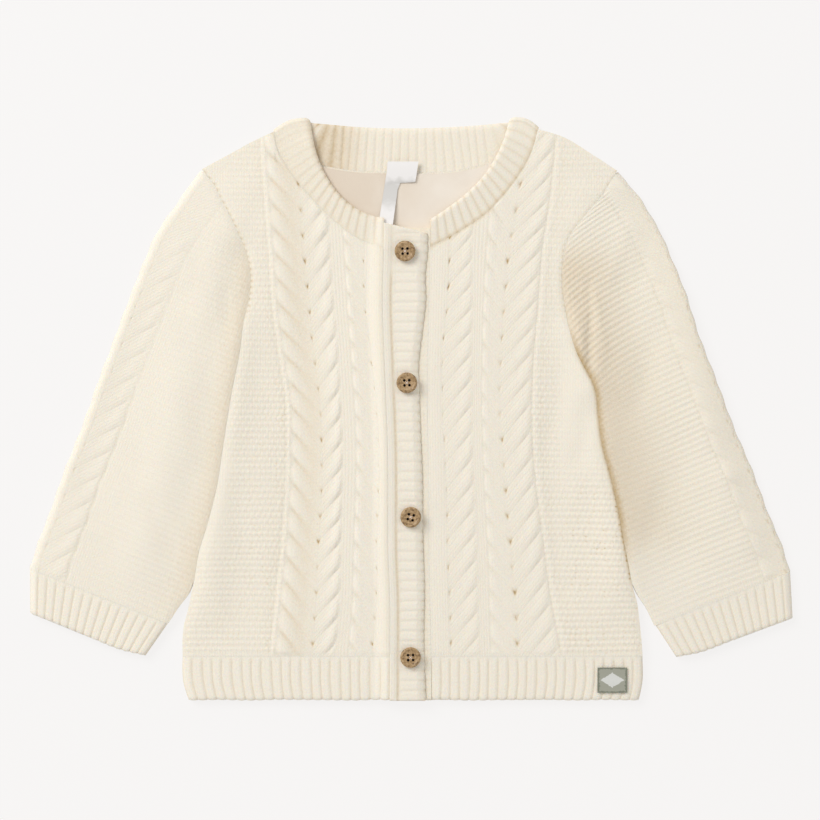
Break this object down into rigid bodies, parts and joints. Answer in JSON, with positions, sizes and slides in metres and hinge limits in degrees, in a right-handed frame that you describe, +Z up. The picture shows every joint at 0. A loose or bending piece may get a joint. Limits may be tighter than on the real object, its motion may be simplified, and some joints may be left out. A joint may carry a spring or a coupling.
{
  "type": "baby cardigan",
  "caption": "Round-neck cable-knit baby cardigan laid flat and buttoned up, with long sleeves and ribbed hem, cuffs, neckband and front bands.",
  "frame": {"origin": "middle of the footprint, on the surface that the cardigan lies on", "axes": "+X from cuff to cuff, towards the sleeve on the right as seen from above; +Y up the garment, from hem to neck; +Z up, out of the front of the garment"},
  "size_m": [0.4148, 0.3163, 0.0128],
  "materials": {
    "knit_cream": "cream wool or cotton knit, matt, with a short soft pile",
    "jersey_cream": "fine smooth jersey, matt",
    "wood_brown": "turned and satin-polished, with a fine grain",
    "satin_white": "woven satin ribbon, softly shiny",
    "woven_sage": "dense woven label, matt"
  },
  "bodies": {
    "root": {"back": "knit_cream", "hem_back": "knit_cream", "front_left": "knit_cream", "front_right": "knit_cream", "hem_left": "knit_cream", "hem_right": "knit_cream", "sleeve_left": "knit_cream", "sleeve_right": "knit_cream", "cuff_left": "knit_cream", "cuff_right": "knit_cream", "neckband": "knit_cream", "band_buttonhole": "knit_cream", "band_button": "knit_cream", "lining_back": "jersey_cream", "button_1": "wood_brown", "button_2": "wood_brown", "button_3": "wood_brown", "button_4": "wood_brown", "neck_label": "satin_white", "hem_label": "woven_sage"}
  },
  "joints": []
}
